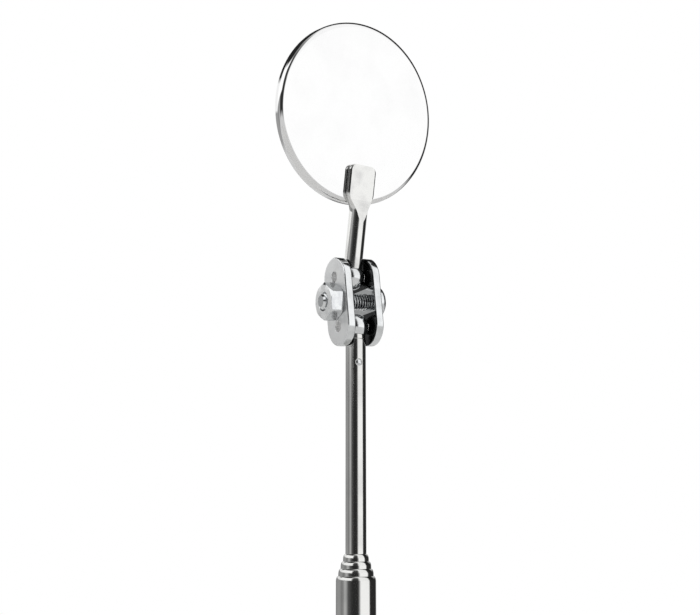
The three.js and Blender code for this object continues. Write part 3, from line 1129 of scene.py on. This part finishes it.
class Fasteners:
    """The clamp's slotted screw and its hexagon nut."""

    sizes = FastenerSizes()

    def screw(self, axes: Axes) -> Shell:
        """The screw: a helical thread, and a domed head with a slot.

        The thread's radius falls from the major radius by its depth times a triangle wave of
        x / pitch less angle / full turn, cut flat on the crests, and the end is turned to a cone
        of 45 degrees that starts a point step under the major radius. The head's dome stands at
        side + (1 - side) (1 - (r / R) cubed) to the half, as shares of its height.

        Args:
            axes: the screw's middle, with z towards its head.

        Returns:
            The closed shells of the shank and the head.
        """
        s = self.sizes
        end = s.face + s.nut_height + s.overhang
        height = np.arange(-end, s.face + s.point_step, s.pitch / 12)
        angle = np.arange(64) * 2 * math.pi / 64
        phase = (height[:, None] / s.pitch - angle[None] / (2 * math.pi)) % 1
        wave = np.clip(np.abs(2 * phase - 1) * 1.3 - 0.15, 0, 1)
        radius = s.major - s.thread_depth * smooth(wave)
        radius = np.minimum(radius, s.major - s.point_step + (height[:, None] + end))
        ring = np.stack([np.cos(angle), np.sin(angle)], -1)
        flat = radius[..., None] * ring[None]
        tall = np.broadcast_to(height[:, None, None], flat.shape[:2] + (1,))
        shank = np.concatenate([flat, tall], -1)
        ends = np.zeros((2, 1, 64, 3))
        ends[0, ..., 2], ends[1, ..., 2] = height[0], height[-1]
        made = Shell().grid(axes.place(np.concatenate([ends[0], shank, ends[1]])))
        return made.grid(axes.place(self.head()))

    def in_roots(self, points: np.ndarray, axes: Axes) -> np.ndarray:
        """Which points lie in the thread's roots, away from the screw's ends, which are painted
        dark as shade.

        Args:
            points: points in the object's frame.
            axes: the screw's middle, with z towards its head.

        Returns:
            A truth value for each.
        """
        off = points - axes.origin
        height = off @ axes.z
        radius = np.sqrt(np.maximum((off * off).sum(-1) - height**2, 0))
        root = radius < self.sizes.major - 0.55 * self.sizes.thread_depth
        return root & (np.abs(height) < self.sizes.face)

    def head(self) -> np.ndarray:
        """The head as loops across the slot, each once round the top and the underside.

        Returns:
            A grid of local points, one row for each line along the slot.
        """
        s = self.sizes
        across = s.head_radius * np.sin(np.linspace(-math.pi / 2, math.pi / 2, 45))
        edge, soft = s.slot_half, 0.04 * MM
        marks = np.array([-edge - soft, -edge, -edge + 1e-7, edge - 1e-7, edge, edge + soft])
        keep = np.abs(np.abs(across) - edge) > 0.1 * MM
        rows = np.sort(np.concatenate([across[keep], marks]))
        half = np.sqrt(np.maximum(s.head_radius**2 - rows**2, 0))
        share = np.sin(np.linspace(-math.pi / 2, math.pi / 2, 41))
        along = half[:, None] * share[None]
        reach = np.minimum(np.hypot(along, rows[:, None]) / s.head_radius, 1)
        dome = s.head_side + (1 - s.head_side) * np.sqrt(np.maximum(1 - reach**3, 0))
        top = s.face + s.head_height * dome
        floor = s.face + s.head_height - s.slot_depth
        inside = (np.abs(rows) < edge - 5e-8)[:, None]
        lip = (np.abs(rows) < edge + soft / 2)[:, None]
        top = np.where(inside, np.minimum(top, floor), np.where(lip, top - soft, top))
        y = np.broadcast_to(rows[:, None], along.shape)
        over = np.stack([along, y, top], -1)
        under = np.stack([along, y, np.full_like(top, s.face)], -1)[:, ::-1]
        return np.concatenate([over, under], axis=1)

    def nut(self, axes: Axes) -> Shell:
        """The nut: a hexagon chamfered by a cone on both faces, with a countersunk bore.

        The side stands at across flats / 2 / cos of the angle from the nearest flat's middle.
        The cone lowers the side's edges by its slope times what the side stands out past the
        flats.

        Args:
            axes: the nut's seat on the plate, with x up the plates and z away from the seat.

        Returns:
            The closed nut.
        """
        s = self.sizes
        flat = s.across_flats / 2
        angle = math.radians(s.nut_turn) + np.arange(180) * 2 * math.pi / 180
        local = (np.arange(180) * 2) % 60 - 30.0
        side = flat / np.cos(np.radians(local))
        soft = s.corner_break
        side = np.minimum(side, flat / math.cos(math.radians(30)) - soft)
        drop = (side - flat) * s.cone_slope
        bore, wide = np.full(180, s.nut_bore), np.full(180, s.nut_bore + s.sink_width)
        face = np.minimum(side, flat) - s.face_inset
        zero, sunk = np.zeros(180), np.full(180, s.sink_depth)
        radius = np.stack([bore, wide, face, side - 1.6 * soft, side])
        height = np.stack([sunk, zero, zero, drop + 0.2 * soft, drop + 1.2 * soft])
        radius = np.concatenate([radius, radius[::-1]])
        height = np.concatenate([height, s.nut_height - height[::-1]])
        points = np.stack([radius * np.cos(angle), radius * np.sin(angle), height], -1)
        return Shell().grid(axes.place(points), wrap_rows=True)


class Clamp:
    """The lower ball with its stud, the two plates, the screw and the nut."""

    def __init__(self) -> None:
        """Reads the clamp's place from the joints."""
        lower = np.array(joint("clamp_swing")["pos_m"])
        upper = np.array(joint("stem_swing")["pos_m"])
        self.spacing = float(np.linalg.norm(upper - lower))
        self.axes = Axes.along(lower, upper - lower, x=joint("clamp_swing")["axis"])

    def build(self, shop: Workshop) -> None:
        """Builds the clamp's pieces.

        Args:
            shop: where finishes come from.
        """
        balls = BallJoint()
        lower = Axes.along(self.axes.origin, (0, 0, 1))
        flat = float(self.axes.origin[2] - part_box("lower_ball")[0].z)
        shop.fit(balls.stud(flat), "ball_stud", BUFFED_STAINLESS)
        shop.fit(balls.pin(), "stud_pin", ZINC)
        shop.fit(balls.ball(lower, flat), "lower_ball", BARREL_CHROME)
        for side, node in ((1, "clamp_plate_head_side"), (-1, "clamp_plate_nut_side")):
            plate = ClampPlate(self.axes, self.spacing, side)
            made = shop.fit(plate.shell(), node, BARREL_CHROME)
            shop.coat(made, STAMPED, plate.outer_face)
            # Painted shade on the plates' inner sides near the balls.
            shop.coat(made, PAINTED_SHADE, plate.painted_shade_face)
            # Painted highlight on the walls of the seats' holes.
            shop.coat(made, PAINTED_HOLE_HIGHLIGHT, plate.highlight_wall)
        parts = Fasteners()
        middle = self.axes.moved(z=self.spacing / 2)
        along = Axes(middle.origin, -middle.z, middle.y, middle.x)
        screw = shop.fit(parts.screw(along), "clamp_screw", ZINC, sharp=40)
        # Painted shade in the thread's roots.
        shop.coat(screw, PAINTED_SHADE, lambda points: parts.in_roots(points, along))
        seat = middle.moved(x=-parts.sizes.face)
        back = Axes(seat.origin, seat.z, seat.y, -seat.x)
        nut = shop.fit(parts.nut(back), "clamp_nut", ZINC, sharp=24)
        end = parts.sizes.nut_height - PlateSizes.face_slack / 2
        shop.coat(nut, STAMPED, lambda points: (points - back.origin) @ back.z > end)


# ---- stem and mirror -------------------------------------------------------------------------


@dataclass(frozen=True)
class Dent:
    """A hammer mark on the blade: where it is, how wide, how tall and how deep, in metres."""

    x: float
    z: float
    width: float
    height: float
    depth: float

    def at(self, x: np.ndarray, z: np.ndarray) -> np.ndarray:
        """How deep the mark is: its depth times a bell curve of the distance from its middle.

        Args:
            x: places across the blade.
            z: places along it.

        Returns:
            The depths.
        """
        off = ((x - self.x) / self.width) ** 2 + ((z - self.z) / self.height) ** 2
        return self.depth * np.exp(-off)


@dataclass(frozen=True)
class StemSizes:
    """Sizes of the stem, in metres from the upper ball's centre."""

    radius: float = 1.95 * MM
    blade_half: float = 3.4 * MM
    blade_thickness: float = 1.3 * MM
    corner: float = 1.3 * MM
    press_start: float = 11.9 * MM
    press_length: float = 4.6 * MM
    press_power: float = 1.2
    spread_start: float = 13.7 * MM
    spread_length: float = 4.4 * MM
    blade_end: float = 23.9 * MM
    case_overlap: float = 8.4 * MM
    case_gap: float = 0.1 * MM
    shoulder_round: float = 0.12 * MM
    neck_short: float = 0.03 * MM
    dent_fade: float = 0.25 * MM
    dents: tuple[Dent, ...] = (
        Dent(-0.5 * MM, 20.6 * MM, 0.45 * MM, 1.7 * MM, 0.05 * MM),
        Dent(0.6 * MM, 21.4 * MM, 0.5 * MM, 0.9 * MM, 0.045 * MM),
        Dent(2.2 * MM, 21.8 * MM, 0.4 * MM, 0.4 * MM, 0.05 * MM),
        Dent(2.3 * MM, 20.3 * MM, 0.4 * MM, 0.35 * MM, 0.05 * MM),
        Dent(2.1 * MM, 18.9 * MM, 0.4 * MM, 0.4 * MM, 0.045 * MM),
        Dent(-1.8 * MM, 18.2 * MM, 0.7 * MM, 1.0 * MM, 0.04 * MM),
        Dent(0.4 * MM, 16.4 * MM, 0.8 * MM, 1.1 * MM, 0.02 * MM),
    )


class Stem:
    """The stem: a neck in the ball, a round rod, and an end hammered flat on to the case."""

    sizes = StemSizes()

    def __init__(self, axes: Axes, flat: float) -> None:
        """Sets the stem's place.

        Args:
            axes: the upper ball's centre, z up the stem, the case on the +y side.
            flat: the ball's flat, as its distance from the ball's centre.
        """
        self.axes = axes
        self.flat = flat

    def sections(self) -> tuple[np.ndarray, np.ndarray, np.ndarray, np.ndarray, np.ndarray]:
        """The stem's section at each height.

        A hammer presses the front in with a power of its travel a little over one, and a die the
        back with the square of it. The metal spreads sideways on a smooth step. The blade's
        corners are quarter circles.

        Returns:
            Heights, half widths, half depths, and how far the front and the back may stand out.
        """
        s = self.sizes
        neck, shoulder = BallSizes.neck, self.flat + BallSizes.rest_gap
        start = np.array([shoulder - BallSizes.neck_depth + s.neck_short, shoulder])
        round_up = np.linspace(0, math.pi / 2, 6)
        soft_z = shoulder + s.shoulder_round * (1 - np.cos(round_up))
        soft_r = s.radius - s.shoulder_round * (1 - np.sin(round_up))
        body = np.linspace(soft_z[-1] + FLAT_MARGIN, s.blade_end - s.corner, 150)
        last = math.radians(86)
        turn = np.linspace(0, last, 14)[1:]
        z = np.concatenate([start, soft_z, body, s.blade_end - s.corner + s.corner * np.sin(turn)])
        spread = smooth((z - s.spread_start) / s.spread_length)
        half_x = s.radius + (s.blade_half - s.radius) * spread
        half_y = s.radius + (s.blade_thickness - s.radius) * spread
        half_x[:2], half_y[:2] = neck, neck
        half_x[2:8], half_y[2:8] = soft_r, soft_r
        half_x[-len(turn):] = s.blade_half - s.corner * (1 - np.cos(turn))
        behind = s.blade_end - s.case_overlap - s.case_gap - s.press_length
        front_press = np.clip((z - s.press_start) / s.press_length, 0, 1) ** s.press_power
        back_press = np.clip((z - behind) / s.press_length, 0, 1) ** 2
        thin = s.blade_thickness / 2
        return (z, half_x, half_y, half_y + (thin - half_y) * front_press,
                half_y + (thin - half_y) * back_press)

    def shell(self) -> Shell:
        """The stem as a loft.

        Each section is an ellipse pressed flat in front and behind. The flats and the two
        sides have their own share of the columns, so that the flats' edges run along one
        column each, and the front flat is lowered by the hammer's dents.

        Returns:
            The closed stem.
        """
        s = self.sizes
        z, half_x, half_y, front, back = (a[:, None] for a in self.sections())
        least = math.radians(14)
        front_half = np.maximum(np.arccos(np.clip(front / half_y, 0, 1)), least)
        back_half = np.maximum(np.arccos(np.clip(back / half_y, 0, 1)), least)
        t = np.linspace(0, 1, 25)[None, :-1]
        turn = math.pi / 2
        angle = np.concatenate([
            -turn - front_half + 2 * front_half * t,
            -turn + front_half + (2 * turn - front_half - back_half) * t,
            turn - back_half + 2 * back_half * t,
            turn + back_half + (2 * turn - front_half - back_half) * t,
        ], axis=1)
        x = half_x * np.cos(angle)
        y = np.clip(half_y * np.sin(angle), -front, back)
        hammered = np.clip(self.pressed_flat(x, y, front) / s.dent_fade, 0, 1)
        y = y + hammered * sum(dent.at(x, z) for dent in s.dents)
        points = np.stack([x, y, np.broadcast_to(z, x.shape)], -1)
        ends = np.stack([points[0].mean(0), points[-1].mean(0)])[:, None, None]
        ends = np.broadcast_to(ends, (2, 1, x.shape[1], 3))
        return Shell().grid(self.axes.place(np.concatenate([ends[0], points, ends[1]])))

    def pressed_flat(self, x: np.ndarray, y: np.ndarray, front: np.ndarray) -> np.ndarray:
        """How far a point of the front flat is from the flat's side edges, in metres.

        Args:
            x: the points' places across the stem.
            y: the points' places through the stem.
            front: how far the front stands out at each height.

        Returns:
            The distances, zero off the flat.
        """
        on_flat = np.abs(y + front) < 1e-7
        edge = np.max(np.where(on_flat, np.abs(x), 0), axis=1, keepdims=True)
        return np.where(on_flat, edge - np.abs(x), 0)


@dataclass(frozen=True)
class CaseSizes:
    """Sizes of the mirror's case, in metres."""

    radius: float = 19.3 * MM
    side_shift: float = -1.8 * MM
    back_place: float = 0.67 * MM
    depth: float = 2.4 * MM
    sheet: float = 0.5 * MM
    fillet: float = 1.1 * MM
    bead: float = 0.4 * MM
    lip: float = 0.8 * MM
    glass: float = 1.05 * MM
    pad: float = 0.3 * MM
    gap: float = 0.02 * MM
    glass_gap: float = 0.1 * MM


class MirrorHead:
    """The upper ball, the stem, and the mirror in its case."""

    sizes = CaseSizes()

    def __init__(self) -> None:
        """Reads the head's place from the joints and the frame's boxes."""
        spin = joint("stem_spin")
        origin, up = np.array(spin["pos_m"]), np.array(spin["axis"])
        straight = Axes.along(origin, up)
        self.axes = Axes.along(origin, up, turn=self.own_turn(straight))
        s = StemSizes()
        self.case = self.axes.moved(
            x=self.sizes.side_shift, y=self.sizes.back_place,
            z=s.blade_end - s.case_overlap + self.sizes.radius)
        self.flat = math.sqrt(BallSizes.radius**2 - s.radius**2)

    def own_turn(self, straight: Axes) -> float:
        """The stem's own turn about its axis, measured on the case's flat sides.

        The case is a flat disc, so the direction in which its points spread least is its
        normal, which is the head's y.

        Args:
            straight: the stem's frame before its turn.

        Returns:
            Degrees about the stem's axis.
        """
        mesh = frame["nodes"]["mirror_case"].data
        points = np.zeros(len(mesh.vertices) * 3)
        mesh.vertices.foreach_get("co", points)
        points = points.reshape(-1, 3)
        spread = np.linalg.svd(points - points.mean(0), full_matrices=False)[2][-1]
        spread = spread * np.sign(spread @ straight.y)
        return math.degrees(math.atan2(-(spread @ straight.x), spread @ straight.y))

    def build(self, shop: Workshop) -> None:
        """Builds the head's pieces.

        Args:
            shop: where finishes come from.
        """
        under = Axes(self.axes.origin, self.axes.x, -self.axes.y, -self.axes.z)
        shop.fit(BallJoint().ball(under, self.flat), "upper_ball", BARREL_CHROME)
        stem = Stem(self.axes, self.flat).shell()
        shop.fit(stem, "mirror_stem", BUFFED_STAINLESS, sharp=38)
        turning = Axes(self.case.origin, self.case.z, self.case.x, self.case.y)
        shop.fit(self.cup(turning), "mirror_case", CHROME)
        shop.fit(self.glass(turning), "mirror_glass", GLASS)
        shop.dress("backing_pad", GREY_BOARD)

    def cup(self, axes: Axes) -> Shell:
        """The pressed cup: a flat back, a round edge, and a rim rolled over the glass.

        Args:
            axes: the back's centre, with z towards the glass.

        Returns:
            The closed cup.
        """
        s = self.sizes
        r = s.radius - s.gap
        pocket = r - s.sheet
        under_lip = s.sheet + 2 * s.gap + s.pad + s.glass + s.gap
        corners = [
            (0, 0), (r * 0.5, 0), (r, 0), (r, s.depth), (pocket - s.lip, s.depth),
            (pocket - s.lip, under_lip), (pocket, under_lip), (pocket, s.sheet), (0, s.sheet),
        ]
        radii = np.array([0, 0, s.fillet / MM, s.bead / MM, 0.22, 0.03, 0.03, 0.2, 0]) * MM
        return Shell().grid(turned(corners_rounded(corners, radii, steps=10), axes, 240))

    def glass(self, axes: Axes) -> Shell:
        """The mirror glass, a round plate with its edges ground off.

        Args:
            axes: the case's back centre, with z towards the glass.

        Returns:
            The closed glass.
        """
        s = self.sizes
        rim = s.radius - s.sheet - s.glass_gap
        low = s.sheet + 2 * s.gap + s.pad
        high = low + s.glass
        profile = corners_rounded([(0, low), (rim, low), (rim, high), (0, high)],
                                  np.array([0, 0.08, 0.12, 0]) * MM, steps=3)
        return Shell().grid(turned(profile, axes, 180))


# ---- studio ----------------------------------------------------------------------------------


@dataclass(frozen=True)
class Band:
    """One height of the studio's surroundings, as upright panels seen from the object.

    Attributes:
        above: the height in degrees over the horizon at which the band starts.
        blur: over how many degrees it fades in.
        panels: pairs of degrees to the right of the camera and brightness, where white paper
            is 1. Brightness runs evenly from each pair to the next.
    """

    above: float
    blur: float
    panels: tuple[tuple[float, float], ...]


@dataclass(frozen=True)
class StudioSizes:
    """The camera and the floor, in metres and degrees, with the lens in millimetres."""

    azimuth: float = -29.58
    distance: float = 218.5 * MM
    aside: float = -1.19 * MM
    height: float = 131.56 * MM
    pitch: float = 12.45
    lens: float = 54.72
    sensor: float = 36.0
    floor_radius: float = 600 * MM
    floor_top: float = -0.5 * MM
    floor_under: float = -4 * MM
    floor_round: float = 0.8 * MM


class Studio:
    """A camera, a pale floor, and soft white and dark panels round the object."""

    sizes = StudioSizes()
    bands = (
        Band(-90, 1, ((-180, 0.75), (180, 0.75))),
        Band(-10, 6, ((-180, 0.22), (-158, 0.22), (-146, 0.34), (-130, 0.4), (-106, 0.4),
                      (-92, 0.27), (-78, 0.34), (-68, 0.6), (-58, 0.5), (-46, 0.12),
                      (-28, 0.05), (-20, 0.03), (10, 0.03), (18, 0.2), (28, 1.27), (80, 1.27),
                      (87, 0.03), (146, 0.03), (158, 0.26), (180, 0.22))),
        Band(11.6, 2, ((-180, 1.1), (-114, 1.1), (-108, 1.3), (-30, 1.3), (-22, 0.05), (12, 0.05),
                       (24, 1.2), (79, 1.2), (83, 0.02), (124, 0.02), (150, 0.6), (180, 1.1))),
        Band(32, 4, ((-180, 0.02), (-118, 0.02), (-108, 1.3), (-26, 1.3), (-16, 0.1), (12, 0.1),
                     (22, 1.2), (80, 1.2), (84, 0.02), (180, 0.02))),
        Band(44, 6, ((-180, 0.02), (-40, 0.02), (-20, 0.3), (10, 0.3), (22, 1.2), (80, 1.2),
                     (85, 0.02), (180, 0.02))),
        Band(64, 6, ((-180, 0.02), (-60, 0.02), (20, 1.1), (80, 1.1), (86, 0.02), (180, 0.02))),
    )

    def directions(self) -> tuple[np.ndarray, np.ndarray]:
        """The level directions from the object to the camera, and to the camera's right.

        Returns:
            Both unit vectors.
        """
        a = math.radians(self.sizes.azimuth)
        return np.array([math.sin(a), -math.cos(a), 0]), np.array([math.cos(a), math.sin(a), 0])

    def camera(self) -> None:
        """Makes the camera."""
        s = self.sizes
        towards, right = self.directions()
        place = s.distance * towards + s.aside * right + np.array([0, 0, s.height])
        data = bpy.data.cameras.new("camera")
        data.sensor_width = s.sensor
        data.lens = s.lens
        data.clip_start, data.clip_end = 0.01, 20.0
        made = bpy.data.objects.new("camera", data)
        pitch = math.radians(s.pitch)
        look = Vector(-towards * math.cos(pitch)) + Vector((0, 0, math.sin(pitch)))
        facing = look.to_track_quat("-Z", "Y").to_matrix().to_4x4()
        made.matrix_world = Matrix.Translation(Vector(place)) @ facing
        bpy.context.scene.collection.objects.link(made)
        bpy.context.scene.camera = made

    def floor(self, shop: Workshop) -> None:
        """Makes the pale floor under the object.

        Args:
            shop: where finishes come from.
        """
        s = self.sizes
        profile = corners_rounded(
            [(0, s.floor_under), (s.floor_radius, s.floor_under), (s.floor_radius, s.floor_top),
             (0, s.floor_top)], s.floor_round, steps=3)
        made = Shell().grid(turned(profile, UPRIGHT, 128)).build("floor")
        made.data.materials.append(shop.finish_of(PALE_FLOOR))

    def surroundings(self) -> None:
        """Makes the world: bands of upright panels, one over the other, over an even grey.

        The angle round the object is the arctangent of a direction's parts towards the
        camera's right and towards the camera. The camera itself sees plain white.
        """
        world = bpy.data.worlds.new("studio")
        bpy.context.scene.world = world
        tree = Tree(world)
        towards, right = self.directions()
        ray = tree.add("TexCoord").outputs["Generated"]
        aside, facing = (tree.add("VectorMath", {0: ray, 1: tuple(way)}, operation="DOT_PRODUCT")
                         for way in (right, towards))
        parts = {0: aside.outputs["Value"], 1: facing.outputs["Value"]}
        around = tree.add("Math", parts, operation="ARCTAN2")
        share = tree.ranged(around.outputs[0], 0.0, 1.0, start=-math.pi, end=math.pi)
        height = tree.add("SeparateXYZ", {0: ray}).outputs["Z"]
        light = None
        for band in self.bands:
            stops = [((a + 180) / 360, (b, b, b, 1)) for a, b in band.panels]
            walls = tree.ramp(share, stops)
            if light is None:
                light = walls
                continue
            edges = [math.sin(math.radians(band.above + side * band.blur / 2)) for side in (-1, 1)]
            over = tree.ranged(height, 0.0, 1.0, start=edges[0], end=edges[1])
            mixed = tree.add("Mix", {"Factor": over, 6: light, 7: walls}, data_type="RGBA")
            light = mixed.outputs[2]
        lit = tree.add("Background", {"Color": light, "Strength": 1.0})
        plain = tree.add("Background", {"Color": (1, 1, 1, 1), "Strength": 1.0})
        path = tree.add("LightPath").outputs["Is Camera Ray"]
        both = tree.add("MixShader", {0: path, 1: lit.outputs[0], 2: plain.outputs[0]})
        tree.add("OutputWorld", {"Surface": both.outputs[0]})

    def build(self, shop: Workshop) -> None:
        """Builds the camera, the floor and the light.

        Args:
            shop: where finishes come from.
        """
        self.camera()
        self.floor(shop)
        self.surroundings()
        bpy.context.scene.view_settings.view_transform = "Standard"
        log.info("studio ready")


def main() -> None:
    """Builds the whole scene, from the studio to the mirror."""
    logging.basicConfig(level=logging.INFO, format="%(message)s")
    shop = Workshop()
    Studio().build(shop)
    Telescope().build(shop)
    Clamp().build(shop)
    MirrorHead().build(shop)


if __name__ == "__main__":
    main()
